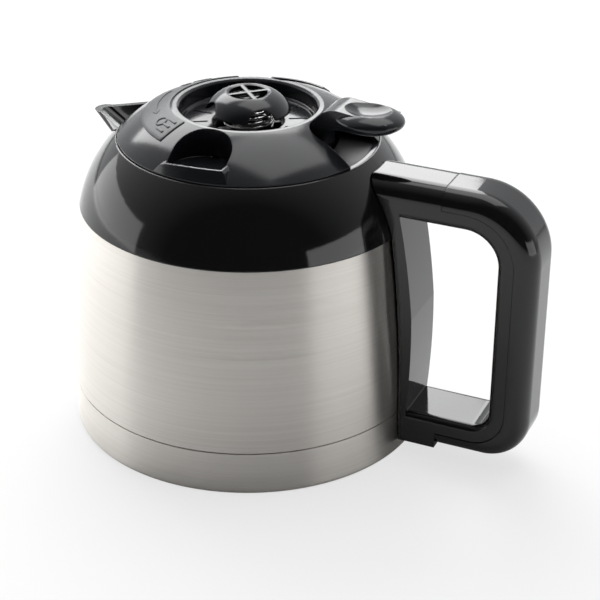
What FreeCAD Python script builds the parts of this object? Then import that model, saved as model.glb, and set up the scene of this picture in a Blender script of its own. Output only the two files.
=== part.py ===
"""Insulated serving jug of a drip coffee maker, with its screw lid, thumb lever and pouring valve.

Frame: +Z up, the handle on +X, the spout on -X, the origin at the middle of the base.
Every size is a cell of the sheet "Sizes", in millimetres, degrees where the name ends in _angle.
"""
import FreeCAD, Part
import math
import os
import re
import Sketcher
from FreeCAD import Placement, Rotation, Vector

doc = FreeCAD.newDocument("coffee_jug")

# ---------------------------------------------------------------- driving sizes
SIZES = {
    # steel flask
    "base_radius": 70.0,
    "base_edge": 2.0,
    "cup_wall": 0.8,
    "seam_height": 17.5,
    "seam_taper": 0.4,
    "seam_groove": 0.5,
    "lip_height": 3.0,
    "lip_clearance": 0.05,
    "shell_wall": 0.7,
    "barrel_arc": 543.0,
    "barrel_height": 73.3,
    "barrel_taper": 5.6,
    "shoulder_step": 4,
    "shoulder_rise": 5.2,
    "deck_width": 8.8,
    "neck_rise": 14.2,
    "neck_slit": 0.4,
    "neck_height": 4,
    "vessel_wall": 0.6,
    "vacuum_gap": 4.4,
    "vessel_floor": 8.0,
    "vessel_corner": 9.0,
    "getter_radius": 7.0,
    "getter_thick": 1.4,
    # plastic collar with the spout
    "collar_proud": 0.5,
    "collar_arc": 52.0,
    "collar_wall": 2.4,
    "collar_foot": 3.2,
    "deck_overhang": 3,
    "collar_lean": 14.1,
    "collar_height": 25.9,
    "rim_wall": 0.9,
    "deck_depth": 5.9,
    "deck_thick": 2.0,
    "neck_clearance": 0.3,
    "spout_length": 15.2,
    "spout_half_width": 15.0,
    "spout_nose": 4.5,
    "spout_wall": 1.8,
    "spout_drop": 11.0,
    # thread ring in the neck
    "ring_wall": 1.8,
    "ring_height": 18.8,
    "ring_flange_width": 2,
    "ring_flange_thick": 1.6,
    "ring_fit": 0.2,
    "thread_lead": 48.0,
    "thread_rise": 3.0,
    "thread_depth": 1.7,
    "thread_span_angle": 50.0,
    "thread_depth_in_neck": 10.5,
    "thread_play": 0.4,
    "lug_span_angle": 20.0,
    # lid
    "plug_wall": 1.8,
    "plug_depth": 16.8,
    "plug_floor": 2.0,
    "port_radius": 10.0,
    "flange_fit": 0.2,
    "flange_thick": 1.8,
    "lid_gap": 0.3,
    "gasket_play": 0.1,
    "lid_screw_margin": 2.2,
    "lid_screw_angle": 66.0,
    "lid_screw_radius": 1.0,
    "lid_screw_head": 1.9,
    "lid_screw_head_thick": 1.3,
    "lid_screw_length": 4.0,
    "gasket_inset": 0.3,
    "gasket_margin": 1.2,
    "gasket_thick": 1.5,
    "rim_gap": 1.3,
    "cover_skirt": 1.9,
    "cover_rise": 0.5,
    "dome_height": 11.8,
    "dome_arc": 51.0,
    "rim_flat": 2.4,
    "cover_wall": 2.0,
    "recess_radius": 26.0,
    "recess_depth": 6.5,
    "ledge_radius": 24.0,
    "ledge_thick": 2.0,
    "tray_thick": 1.9,
    "tray_hole": 13.0,
    "cavity_angle": 108.0,
    "pocket_rise": 0.8,
    "lip_half_width": 12.9,
    "lip_rise": 4.9,
    "lip_inner": 37.0,
    "pocket_half_width": 11.3,
    "pocket_lip": 0.5,
    "pocket_wall": 1.9,
    "notch_half_width": 12.6,
    "notch_wall": 2.5,
    "outlet_half_width": 12.0,
    "outlet_height": 1.6,
    # lever
    "pivot_reach": 18.0,
    "pivot_drop": 1.5,
    "pin_radius": 1.5,
    "pin_clearance": 0.05,
    "arm_inner": 3.6,
    "arm_outer": 7.5,
    "arm_drop": 10.9,
    "arm_thick": 2.4,
    "nose_drop": 1.0,
    "nose_radius": 1.7,
    "ear_gap": 0.5,
    "ear_wall": 2.5,
    "lever_gap": 0.4,
    "lever_neck": 3.4,
    "pad_inset": 0.5,
    "pad_half_length": 13.5,
    "pad_half_width": 11.5,
    "pad_rise": 5.6,
    "pad_thick": 4.6,
    "pad_dish": 1.6,
    # valve
    "stem_radius": 3.0,
    "stem_clearance": 0.05,
    "cap_rise": 5,
    "cap_radius": 16.0,
    "cap_drop": 2,
    "cap_wall": 1.6,
    "grille_radius": 7.2,
    "grille_rib": 1.5,
    "spring_radius": 9.3,
    "spring_wire": 0.9,
    "spring_turns": 4.0,
    "pusher_radius": 8.0,
    "pusher_thick": 1.8,
    "disc_radius": 13.0,
    "disc_thick": 1.8,
    "seal_thick": 0.9,
    "seal_gap": 0.1,
    "guide_thick": 2.0,
    "guide_ring": 15.0,
    "guide_ring_wall": 2.4,
    "guide_spoke": 2.6,
    "hub_radius": 5.6,
    # handle
    "handle_drop": 3.1,
    "handle_bottom": 5.6,
    "grip_depth": 15,
    "handle_half_width": 12.5,
    "grip_corner_top": 26.0,
    "grip_corner_bottom": 17.0,
    "strip_thick": 2.8,
    "finger_room": 31.8,
    "top_arm_height": 14.2,
    "hole_bottom": 18.5,
    "hole_corner_top": 13.0,
    "hole_corner_bottom": 7.0,
    "liner_thick": 6.6,
    "seam_reach_top": 9.8,
    "seam_reach_bottom": 11.2,
    "barrel_clearance": 0.3,
    "edge_round": 2.8,
    "grip_round": 7.0,
    "grip_hollow_wall": 3.0,
    "screw_radius": 1.5,
    "screw_head": 2.9,
    "screw_head_thick": 1.8,
    "screw_play": 0.1,
    "grip_fit": 0.1,
    "liner_seat": 3.4,
    "grip_screw_rise": 21.5,
    "grip_screw_drop": 25.4,
    "upper_screw_drop": 9.6,
    "upper_screw_spread": 6.0,
    "upper_screw_gap": 5.4,
    "upper_screw_length": 14.8,
    "bracket_bottom": 10.6,
    "bracket_gap": 0.5,
    "bracket_thick": 1.3,
    "bracket_width": 14.0,
    "bracket_length": 10.5,
    "bracket_screw_gap": 6,
}

# heights and radii that several pieces share, as formulas of the sizes above
DERIVED = {
    "seam_radius": "base_radius - seam_taper",
    "shell_top_radius": "base_radius - barrel_taper",
    "collar_base": "seam_height + barrel_height",
    "shoulder_radius": "shell_top_radius - shoulder_step",
    "shoulder_base": "collar_base + shoulder_rise",
    "collar_radius": "shell_top_radius + collar_proud",
    "rim_radius": "collar_radius - collar_lean",
    "rim_height": "collar_base + collar_height",
    "deck_height": "rim_height - deck_depth",
    "neck_radius": "rim_radius - deck_width",
    "neck_base": "collar_base + neck_rise",
    "neck_top": "neck_base + neck_height",
    "collar_inner_top": "rim_radius + deck_overhang",
    "spout_reach": "rim_radius + spout_length",
    "cover_radius": "rim_radius - rim_gap",
    "cover_edge": "rim_height + cover_rise",
    "dome_top": "cover_edge + dome_height",
    "recess_floor": "dome_top - recess_depth",
    "dome_inner": "recess_radius + rim_flat",
    "pocket_floor": "cover_edge + pocket_rise",
    "pocket_inner": "recess_radius + pocket_wall",
    "notch_inner": "recess_radius + notch_wall",
    "lever_root": "notch_inner + lever_gap",
    "pad_centre": "cover_radius - pad_inset",
    "pad_height": "dome_top + pad_rise",
    "cap_top": "dome_top + cap_rise",
    "cap_foot": "dome_top - cap_drop",
    "arm_top": "dome_top - arm_drop",
    "pivot_height": "arm_top - pivot_drop",
    "handle_top": "rim_height - handle_drop",
    "hole_top": "handle_top - top_arm_height",
    "hole_inner": "base_radius + strip_thick",
    "hole_outer": "hole_inner + finger_room",
    "handle_reach": "hole_outer + grip_depth",
    "grip_seam_top": "hole_inner + seam_reach_top",
    "grip_seam_bottom": "hole_inner + seam_reach_bottom",
    "grip_screw_low": "hole_bottom + grip_screw_rise",
    "grip_screw_high": "hole_top - grip_screw_drop",
    "upper_screw_height": "handle_top - upper_screw_drop",
    "upper_screw_seat": "rim_radius + upper_screw_gap",
    "upper_screw_tip": "upper_screw_seat + upper_screw_length",
    "bracket_top": "seam_height - bracket_gap",
    "bracket_reach": "base_radius + bracket_length",
    "bracket_screw_reach": "base_radius + bracket_screw_gap",
    "seam_top": "seam_height + seam_groove",
    "vessel_neck": "neck_radius - shell_wall - neck_slit",
    "ring_outer": "vessel_neck - vessel_wall - ring_fit",
    "ring_bore": "ring_outer - ring_wall",
    "ring_flange": "neck_radius + ring_flange_width",
    "ring_bottom": "deck_height - ring_height",
    "thread_start": "deck_height - thread_depth_in_neck",
    "plug_radius": "ring_bore - thread_depth - thread_play",
    "plug_bottom": "deck_height - plug_depth",
    "gasket_inner": "ring_bore + gasket_inset",
    "gasket_outer": "ring_flange - gasket_margin",
    "ring_top": "deck_height + ring_flange_thick",
    "gasket_bottom": "ring_top + lid_gap",
    "flange_bottom": "gasket_bottom + gasket_thick + gasket_play",
    "flange_top": "flange_bottom + flange_thick",
    "skirt_inner": "cover_radius - cover_skirt",
    "flange_radius": "skirt_inner - flange_fit",
    "lid_screw_reach": "flange_radius - lid_screw_margin",
    "pocket_outer": "skirt_inner - pocket_lip",
    "cover_under": "flange_top + 0.2",
    "tray_bottom": "recess_floor - tray_thick",
    "ledge_bottom": "tray_bottom - ledge_thick",
    "guide_bottom": "tray_bottom - guide_thick",
    "arm_bottom": "arm_top - arm_thick",
    "nose_bottom": "arm_bottom - nose_drop",
    "pusher_top": "nose_bottom - lid_gap",
    "disc_top": "plug_bottom - seal_gap - seal_thick",
    "spring_top": "cap_foot + 2.0",
    "liner_outer": "hole_outer + liner_thick",
    "liner_top": "hole_top + liner_thick",
    "liner_bottom": "hole_bottom - liner_thick",
    "liner_corner_top": "hole_corner_top + liner_thick",
    "liner_corner_bottom": "hole_corner_bottom + liner_thick",
}

sheet = doc.addObject("Spreadsheet::Sheet", "Sizes")
for row, (alias, value) in enumerate(SIZES.items(), start=1):
    sheet.set("A%d" % row, alias)
    sheet.set("B%d" % row, "%g" % value)
    sheet.setAlias("B%d" % row, alias)
doc.recompute()

for row, (alias, formula) in enumerate(DERIVED.items(), start=len(SIZES) + 1):
    sheet.set("A%d" % row, alias)
    sheet.set("B%d" % row, "=" + formula)
    sheet.setAlias("B%d" % row, alias)
    doc.recompute()

NAMES = sorted(list(SIZES) + list(DERIVED), key=len, reverse=True)
WORD = re.compile(r"\b(" + "|".join(NAMES) + r")\b")
SUB_PARTS = []


# ---------------------------------------------------------------- helpers
def value(formula):
    """The number that a formula of the sheet's cells stands for."""
    return float(sheet.evalExpression(formula))


def bind(thing, prop, formula):
    """Tie a property of an object to the sheet."""
    thing.setExpression(prop, WORD.sub(r"Sizes.\1", formula))


def new_body(label):
    body = doc.addObject("PartDesign::Body", label)
    body.Label = label
    SUB_PARTS.append(body)
    return body


def new_sketch(body, plane, offset=None):
    """A sketch on one of the body's own origin planes, moved along the plane's normal by offset."""
    sketch = body.newObject("Sketcher::SketchObject", "sketch")
    support = [f for f in body.Origin.OriginFeatures if f.Role == plane][0]
    sketch.AttachmentSupport = [(support, "")]
    sketch.MapMode = "FlatFace"
    if offset:
        bind(sketch, "AttachmentOffset.Base.z", offset)
    return sketch


def pin_point(sketch, edge, end, x, y):
    """Hold one end of an edge at (x, y), both formulas."""
    for kind, formula in (("DistanceX", x), ("DistanceY", y)):
        held = Sketcher.Constraint(kind, -1, 1, edge, end, value(formula))
        index = sketch.addConstraint(held)
        bind(sketch, "Constraints[%d]" % index, formula)


def outline(sketch, points):
    """A closed outline. A point is (x, y) or (x, y, radius, turn): the edge that leaves it is then
    an arc of that radius, turning left for turn 1 and right for turn -1."""
    corners = [Vector(value(p[0]), value(p[1]), 0) for p in points]
    ends = []
    for i, point in enumerate(points):
        start = corners[i]
        stop = corners[(i + 1) % len(points)]
        if len(point) == 2:
            edge = sketch.addGeometry(Part.LineSegment(start, stop), False)
            ends.append((edge, 1, 2))
            continue
        radius = value(point[2])
        turn = point[3]
        chord = stop - start
        side = Vector(-chord.y, chord.x, 0).normalize() * turn
        reach = math.sqrt(max(radius ** 2 - (chord.Length / 2) ** 2, 0.0))
        centre = (start + stop) * 0.5 + side * reach
        first, last = (start, stop) if turn > 0 else (stop, start)
        angles = [math.atan2(p.y - centre.y, p.x - centre.x) for p in (first, last)]
        if angles[1] < angles[0]:
            angles[1] += 2 * math.pi
        circle = Part.Circle(centre, Vector(0, 0, 1), radius)
        edge = sketch.addGeometry(Part.ArcOfCircle(circle, angles[0], angles[1]), False)
        ends.append((edge, 1, 2) if turn > 0 else (edge, 2, 1))
    for i, (edge, start_end, stop_end) in enumerate(ends):
        next_edge, next_start, _ = ends[(i + 1) % len(ends)]
        joined = Sketcher.Constraint("Coincident", edge, stop_end, next_edge, next_start)
        sketch.addConstraint(joined)
        pin_point(sketch, edge, start_end, points[i][0], points[i][1])
        if len(points[i]) == 4:
            round_edge = Sketcher.Constraint("Radius", edge, value(points[i][2]))
            index = sketch.addConstraint(round_edge)
            bind(sketch, "Constraints[%d]" % index, points[i][2])


def circle(sketch, x, y, radius):
    """A full circle in a sketch, its centre and radius formulas."""
    shape = Part.Circle(Vector(value(x), value(y), 0), Vector(0, 0, 1), value(radius))
    edge = sketch.addGeometry(shape, False)
    pin_point(sketch, edge, 3, x, y)
    index = sketch.addConstraint(Sketcher.Constraint("Radius", edge, value(radius)))
    bind(sketch, "Constraints[%d]" % index, radius)


def feature(body, kind, sketch):
    made = body.newObject("PartDesign::" + kind, kind.lower())
    made.Profile = sketch
    sketch.Visibility = False
    return made


def turned(body, points, kind="Revolution", angle=None, plane="XZ_Plane"):
    """A profile turned about Z, all the way round or through an angle that the plane halves."""
    sketch = new_sketch(body, plane)
    outline(sketch, points)
    made = feature(body, kind, sketch)
    made.ReferenceAxis = (sketch, ["V_Axis"])
    made.Angle = 360
    if angle:
        bind(made, "Angle", angle)
        made.Midplane = True
    doc.recompute()
    return made


def pad(body, sketch, length, both_ways=False, down=False):
    made = feature(body, "Pad", sketch)
    bind(made, "Length", length)
    made.Midplane = both_ways
    made.Reversed = down
    doc.recompute()
    return made


def pocket(body, sketch, length, both_ways=False):
    """A cut that runs against the sketch's normal, or to both sides of it."""
    before = body.Shape.Volume
    made = feature(body, "Pocket", sketch)
    bind(made, "Length", length)
    made.Midplane = both_ways
    doc.recompute()
    if not body.Shape.Volume < before - 1e-6:
        raise RuntimeError("a pocket of %s cut nothing" % body.Label)
    return made


def helix(body, points, angle):
    """A ridge of the given section, climbing at the thread's lead through an angle from X."""
    sketch = new_sketch(body, "XZ_Plane")
    outline(sketch, points)
    made = feature(body, "AdditiveHelix", sketch)
    made.ReferenceAxis = (sketch, ["V_Axis"])
    made.Mode = "pitch-height-angle"
    bind(made, "Pitch", "thread_lead")
    bind(made, "Height", "thread_lead * %s / 360" % angle)
    doc.recompute()
    return made


def around(body, made, count):
    """Repeat a feature evenly about Z."""
    pattern = body.newObject("PartDesign::PolarPattern", "pattern")
    pattern.Originals = [made]
    pattern.Axis = ([f for f in body.Origin.OriginFeatures if f.Role == "Z_Axis"][0], [""])
    pattern.Angle = 360
    pattern.Occurrences = count
    body.Tip = pattern
    doc.recompute()
    return pattern


def round_edges(body, radius, wanted):
    """Fillet the edges of the body's last feature that the test picks."""
    base = body.Tip
    names = ["Edge%d" % i for i, edge in enumerate(base.Shape.Edges, start=1) if wanted(edge)]
    made = body.newObject("PartDesign::Fillet", "fillet")
    made.Base = (base, names)
    bind(made, "Radius", radius)
    doc.recompute()
    return made


def cylinder(label, radius, height, place):
    """A plain pin or disc along Z, placed by formulas for x, y and z."""
    made = doc.addObject("Part::Cylinder", label)
    made.Label = label
    bind(made, "Radius", radius)
    bind(made, "Height", height)
    for axis, formula in zip("xyz", place):
        bind(made, "Placement.Base." + axis, formula)
    doc.recompute()
    SUB_PARTS.append(made)
    return made


def group(label, solids):
    """Separate solids that share one node, such as a set of screws."""
    made = doc.addObject("Part::Feature", label)
    made.Label = label
    made.Shape = Part.makeCompound(solids)
    made.Placement = Placement()
    SUB_PARTS.append(made)
    return made


def screw(head, head_thick, shank, length, base, direction):
    """A pan-head screw whose head's outer face is at base and whose shank points along direction."""
    turn = Vector(direction)
    top = Part.makeCylinder(head, head_thick, Vector(base), turn)
    rod = Part.makeCylinder(shank, length, Vector(base) + turn * head_thick, turn)
    return top.fuse(rod).removeSplitter()


# ---------------------------------------------------------------- steel flask
def make_base_cup():
    body = new_body("base_cup")
    lip = "seam_radius - shell_wall - lip_clearance"
    turned(body, [
        ("0", "0"),
        ("base_radius - base_edge", "0", "base_edge", 1),
        ("base_radius", "base_edge"),
        ("seam_radius", "seam_height"),
        (lip, "seam_height"),
        (lip, "seam_height + lip_height"),
        (lip + " - cup_wall", "seam_height + lip_height"),
        (lip + " - cup_wall", "seam_height - cup_wall"),
        ("base_radius - cup_wall", "base_edge", "base_edge - cup_wall", -1),
        ("base_radius - base_edge", "cup_wall"),
        ("0", "cup_wall"),
    ])


def make_outer_shell():
    body = new_body("outer_shell")
    turned(body, [
        ("seam_radius", "seam_top", "barrel_arc", 1),
        ("shell_top_radius", "collar_base"),
        ("shoulder_radius", "shoulder_base"),
        ("neck_radius", "neck_base"),
        ("neck_radius", "neck_top"),
        ("neck_radius - shell_wall", "neck_top"),
        ("neck_radius - shell_wall", "neck_base - shell_wall"),
        ("shoulder_radius - shell_wall", "shoulder_base - shell_wall"),
        ("shell_top_radius - shell_wall", "collar_base", "barrel_arc - shell_wall", -1),
        ("seam_radius - shell_wall", "seam_top"),
    ])


def make_inner_vessel():
    body = new_body("inner_vessel")
    gap = "shell_wall - vacuum_gap"
    wide = "seam_radius - " + gap
    high = "shell_top_radius - " + gap
    bend = "shoulder_radius - " + gap
    low_neck = "neck_base - vacuum_gap"
    turned(body, [
        ("0", "vessel_floor"),
        (wide + " - vessel_corner", "vessel_floor", "vessel_corner", 1),
        (wide, "vessel_floor + vessel_corner", "barrel_arc", 1),
        (high, "collar_base - 1"),
        (bend, "shoulder_base - 2"),
        ("vessel_neck", low_neck),
        ("vessel_neck", "neck_top"),
        ("neck_radius", "neck_top"),
        ("neck_radius", "neck_top + vessel_wall"),
        ("vessel_neck - vessel_wall", "neck_top + vessel_wall"),
        ("vessel_neck - vessel_wall", low_neck + " - vessel_wall / 2"),
        (bend + " - vessel_wall", "shoulder_base - 2 - vessel_wall / 2"),
        (high + " - vessel_wall", "collar_base - 1", "barrel_arc", -1),
        (wide + " - vessel_wall", "vessel_floor + vessel_corner", "vessel_corner - vessel_wall", -1),
        (wide + " - vessel_corner", "vessel_floor + vessel_wall"),
        ("0", "vessel_floor + vessel_wall"),
    ])


def make_getter():
    cylinder("getter", "getter_radius", "getter_thick", ("0", "0", "cup_wall"))


# ---------------------------------------------------------------- collar, spout and thread ring
def spout_outline(sketch, root, wing_reach, wing, tip, nose):
    """A pointed lip seen from above: straight sides that run into a round nose."""
    outline(sketch, [
        (root, "-(%s)" % wing),
        (root, wing),
        (wing_reach, wing),
        ("-(%s) + %s" % (tip, nose), nose, nose, 1),
        ("-(%s)" % tip, "0", nose, 1),
        ("-(%s) + %s" % (tip, nose), "-(%s)" % nose),
        (wing_reach, "-(%s)" % wing),
    ])


def make_collar():
    body = new_body("collar")
    turned(body, [
        ("collar_radius", "collar_base", "collar_arc", 1),
        ("rim_radius", "rim_height - rim_wall / 2"),
        ("rim_radius - rim_wall / 2", "rim_height"),
        ("rim_radius - rim_wall", "rim_height"),
        ("rim_radius - rim_wall", "deck_height"),
        ("neck_radius + neck_clearance", "deck_height"),
        ("neck_radius + neck_clearance", "deck_height - deck_thick"),
        ("collar_inner_top", "deck_height - deck_thick", "collar_arc - collar_wall", -1),
        ("collar_radius - collar_wall", "collar_base + collar_foot"),
        ("shell_top_radius + lip_clearance", "collar_base"),
    ])
    # the lip outside the rim: a wide outline at the rim and a small one low on the shoulder
    top = new_sketch(body, "XY_Plane", "rim_height")
    spout_outline(top, "-(rim_radius - 6)", "-(rim_radius - 2.4)", "spout_half_width",
                  "spout_reach", "spout_nose")
    low = new_sketch(body, "XY_Plane", "rim_height - spout_drop")
    spout_outline(low, "-(rim_radius - 1)", "-(rim_radius + 1)", "spout_half_width * 0.5",
                  "rim_radius + 6.5", "spout_nose * 0.6")
    lip = feature(body, "AdditiveLoft", top)
    lip.Sections = [low]
    lip.Ruled = True
    doc.recompute()
    # the channel inside it, open to the deck behind the rim
    top = new_sketch(body, "XY_Plane", "rim_height + 1")
    spout_outline(top, "-(rim_radius - 7)", "-(rim_radius - 2.4)", "spout_half_width - spout_wall",
                  "spout_reach - spout_wall + 0.9", "spout_nose - spout_wall")
    low = new_sketch(body, "XY_Plane", "deck_height")
    spout_outline(low, "-(rim_radius - 7)", "-(rim_radius - 2.4)", "spout_half_width * 0.6",
                  "rim_radius + 2.4", "(spout_nose - spout_wall) * 0.7")
    channel = feature(body, "SubtractiveLoft", top)
    channel.Sections = [low]
    channel.Ruled = True
    doc.recompute()
    # room for the lid inside the rim, and a cavity under the deck that clears the lip's foot
    turned(body, [
        ("0", "deck_height"),
        ("rim_radius - rim_wall", "deck_height"),
        ("rim_radius - rim_wall", "rim_height + 2"),
        ("0", "rim_height + 2"),
    ], "Groove")
    turned(body, [
        ("neck_radius + neck_clearance", "shoulder_base + 1"),
        ("shoulder_radius", "shoulder_base + 1"),
        ("collar_inner_top", "deck_height - deck_thick"),
        ("neck_radius + neck_clearance", "deck_height - deck_thick"),
    ], "Groove")
    holes = new_sketch(body, "YZ_Plane", "upper_screw_tip")
    for side in (1, -1):
        circle(holes, "%d * upper_screw_spread" % side, "upper_screw_height", "screw_radius + screw_play")
    pocket(body, holes, "upper_screw_tip - upper_screw_seat + screw_head_thick")
    seats = new_sketch(body, "YZ_Plane", "upper_screw_seat")
    for side in (1, -1):
        circle(seats, "%d * upper_screw_spread" % side, "upper_screw_height", "screw_head + screw_play")
    pocket(body, seats, "2 * screw_head_thick")


def make_thread_ring():
    body = new_body("thread_ring")
    turned(body, [
        ("ring_bore", "ring_bottom"),
        ("ring_outer", "ring_bottom"),
        ("ring_outer", "deck_height"),
        ("ring_flange", "deck_height"),
        ("ring_flange", "ring_top"),
        ("ring_bore", "ring_top"),
    ])
    ridge = helix(body, [
        ("ring_bore + 0.6", "thread_start + thread_play"),
        ("ring_bore + 0.6", "thread_start + thread_play + thread_rise"),
        ("ring_bore - thread_depth", "thread_start + thread_play + thread_rise - 0.5"),
        ("ring_bore - thread_depth", "thread_start + thread_play"),
    ], "thread_span_angle")
    around(body, ridge, 3)


def make_neck_seal():
    body = new_body("neck_seal")
    turned(body, [
        ("ring_outer + lip_clearance", "neck_top + vessel_wall"),
        ("neck_radius", "neck_top + vessel_wall"),
        ("neck_radius", "deck_height"),
        ("ring_outer + lip_clearance", "deck_height"),
    ])


# ---------------------------------------------------------------- lid
def lid_screw_places():
    """Points (x, y) of the lid's screws, as formulas."""
    turn = "lid_screw_reach * %s(lid_screw_angle * 1deg)"
    x = turn % "cos"
    y = turn % "sin"
    return [("%d * %s" % (i, x), "%d * %s" % (j, y)) for i in (1, -1) for j in (1, -1)]


def make_lid_gasket():
    body = new_body("lid_gasket")
    turned(body, [
        ("gasket_inner", "gasket_bottom"),
        ("gasket_outer", "gasket_bottom"),
        ("gasket_outer", "gasket_bottom + gasket_thick"),
        ("gasket_inner", "gasket_bottom + gasket_thick"),
    ])


def make_lid_base():
    body = new_body("lid_base")
    turned(body, [
        ("port_radius", "plug_bottom"),
        ("plug_radius - 1", "plug_bottom"),
        ("plug_radius", "plug_bottom + 1"),
        ("plug_radius", "flange_bottom"),
        ("flange_radius", "flange_bottom"),
        ("flange_radius", "flange_top"),
        ("plug_radius - plug_wall", "flange_top"),
        ("plug_radius - plug_wall", "plug_bottom + plug_floor"),
        ("port_radius", "plug_bottom + plug_floor"),
    ])
    lug = helix(body, [
        ("plug_radius - 0.6", "thread_start - thread_rise"),
        ("ring_bore - thread_play", "thread_start - thread_rise + 0.5"),
        ("ring_bore - thread_play", "thread_start"),
        ("plug_radius - 0.6", "thread_start"),
    ], "lug_span_angle")
    around(body, lug, 3)
    holes = new_sketch(body, "XY_Plane", "flange_top + 1")
    for x, y in lid_screw_places():
        circle(holes, x, y, "lid_screw_radius + lip_clearance")
    pocket(body, holes, "flange_thick + 2")


def make_lid_cover():
    body = new_body("lid_cover")
    turned(body, [
        ("skirt_inner", "flange_bottom + lid_gap"),
        ("cover_radius", "flange_bottom + lid_gap"),
        ("cover_radius", "cover_edge", "dome_arc", 1),
        ("dome_inner", "dome_top"),
        ("recess_radius + 0.8", "dome_top"),
        ("recess_radius", "dome_top - 0.8"),
        ("recess_radius", "tray_bottom"),
        ("ledge_radius", "tray_bottom"),
        ("ledge_radius", "ledge_bottom"),
        ("recess_radius + cover_wall", "ledge_bottom"),
        ("recess_radius + cover_wall", "cover_under"),
        ("skirt_inner", "cover_under"),
    ])
    # hollow under the dome on the spout side and on the handle side
    hollow = turned(body, [
        ("recess_radius + cover_wall", "cover_under - 0.1"),
        ("skirt_inner", "cover_under - 0.1"),
        ("skirt_inner", "cover_edge - 0.4", "dome_arc - cover_wall", 1),
        ("dome_inner + 0.4", "dome_top - cover_wall"),
        ("recess_radius + cover_wall", "dome_top - cover_wall"),
    ], "Groove", "cavity_angle")
    around(body, hollow, 2)
    # raised lips on +Y and -Y, which close the finger pockets outwards: steep at one end, gentle at the other
    front = new_sketch(body, "XZ_Plane", "lip_inner")
    outline(front, [
        ("-(lip_half_width + 2.6)", "cover_edge"),
        ("-lip_half_width", "cover_edge + lip_rise * 0.6"),
        ("-lip_half_width * 0.8", "cover_edge + lip_rise * 0.8"),
        ("-lip_half_width * 0.4", "cover_edge + lip_rise * 0.92"),
        ("0", "cover_edge + lip_rise * 0.98"),
        ("lip_half_width * 0.4", "cover_edge + lip_rise"),
        ("lip_half_width - 1", "cover_edge + lip_rise"),
        ("lip_half_width", "cover_edge + lip_rise - 1"),
        ("lip_half_width + 1.6", "cover_edge"),
    ])
    raised = pad(body, front, "cover_radius - lip_inner")
    around(body, raised, 2)
    turned(body, [
        ("cover_radius", "cover_edge"),
        ("cover_radius * 1.5", "cover_edge"),
        ("cover_radius * 1.5", "dome_top"),
        ("cover_radius - 1.5", "dome_top"),
        ("cover_radius - 1.5", "cover_edge + lip_rise"),
    ], "Groove")
    # finger pockets on +Y and -Y
    top = new_sketch(body, "XY_Plane", "dome_top + 1")
    far = "-sqrt(pocket_outer^2 - pocket_half_width^2)"
    near = "-(pocket_inner + pocket_half_width)"
    outline(top, [
        ("-pocket_half_width", far, "pocket_outer", 1),
        ("pocket_half_width", far),
        ("pocket_half_width", near, "pocket_half_width", 1),
        ("0", "-pocket_inner", "pocket_half_width", 1),
        ("-pocket_half_width", near),
    ])
    finger = pocket(body, top, "dome_top + 1 - pocket_floor")
    around(body, finger, 2)
    # notch for the lever
    top = new_sketch(body, "XY_Plane", "dome_top + 1")
    corner = "notch_half_width * 0.5"
    outline(top, [
        ("cover_radius + 5", "-(notch_half_width + 1.4)"),
        ("cover_radius + 5", "notch_half_width + 1.4"),
        ("notch_inner + " + corner, "notch_half_width", corner, 1),
        ("notch_inner", "notch_half_width - " + corner),
        ("notch_inner", "-(notch_half_width - %s)" % corner, corner, 1),
        ("notch_inner + " + corner, "-notch_half_width"),
    ])
    pocket(body, top, "dome_top + 1 - cover_under + 0.05")
    # outlet towards the spout
    side = new_sketch(body, "YZ_Plane", "-(skirt_inner - 3)")
    outline(side, [
        ("-outlet_half_width", "cover_under"),
        ("outlet_half_width", "cover_under"),
        ("outlet_half_width", "cover_under + outlet_height"),
        ("-outlet_half_width", "cover_under + outlet_height"),
    ])
    pocket(body, side, "cover_skirt + 5")
    holes = new_sketch(body, "XY_Plane", "cover_under + lid_screw_length - flange_thick")
    for x, y in lid_screw_places():
        circle(holes, x, y, "lid_screw_radius + lip_clearance")
    pocket(body, holes, "lid_screw_length")


def make_lid_screws():
    solids = []
    start = value("flange_bottom - lid_screw_head_thick")
    for x, y in lid_screw_places():
        solids.append(screw(value("lid_screw_head"), value("lid_screw_head_thick"),
                            value("lid_screw_radius"), value("lid_screw_length"),
                            (value(x), value(y), start), (0, 0, 1)))
    group("lid_screws", solids)


def make_funnel_tray():
    body = new_body("funnel_tray")
    turned(body, [
        ("tray_hole", "tray_bottom"),
        ("recess_radius - lip_clearance", "tray_bottom"),
        ("recess_radius - lip_clearance", "recess_floor + 1"),
        ("recess_radius - 0.9", "recess_floor + 1"),
        ("recess_radius - 1.6", "recess_floor"),
        ("tray_hole + 0.8", "recess_floor"),
        ("tray_hole", "recess_floor - 0.8"),
    ])
    ears = new_sketch(body, "XY_Plane", "tray_bottom")
    for side in (1, -1):
        outline(ears, [
            ("-(pivot_reach + 2 * pin_radius)", "%d * (arm_outer + ear_gap)" % side),
            ("-(pivot_reach - 2 * pin_radius)", "%d * (arm_outer + ear_gap)" % side),
            ("-(pivot_reach - 2 * pin_radius)", "%d * (arm_outer + ear_gap + ear_wall)" % side),
            ("-(pivot_reach + 2 * pin_radius)", "%d * (arm_outer + ear_gap + ear_wall)" % side),
        ])
    pad(body, ears, "tray_bottom - pivot_height + 1.6 * pin_radius", down=True)
    bore = new_sketch(body, "XZ_Plane")
    circle(bore, "-pivot_reach", "pivot_height", "pin_radius")
    pocket(body, bore, "2 * (arm_outer + ear_gap + ear_wall) + 1", both_ways=True)
    rib = new_sketch(body, "XY_Plane", "recess_floor + 0.1")
    outline(rib, [
        ("tray_hole + 2.4", "-0.5"),
        ("recess_radius - 2.4", "-0.5"),
        ("recess_radius - 2.4", "0.5"),
        ("tray_hole + 2.4", "0.5"),
    ])
    groove = pocket(body, rib, "0.6")
    around(body, groove, 12)


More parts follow.
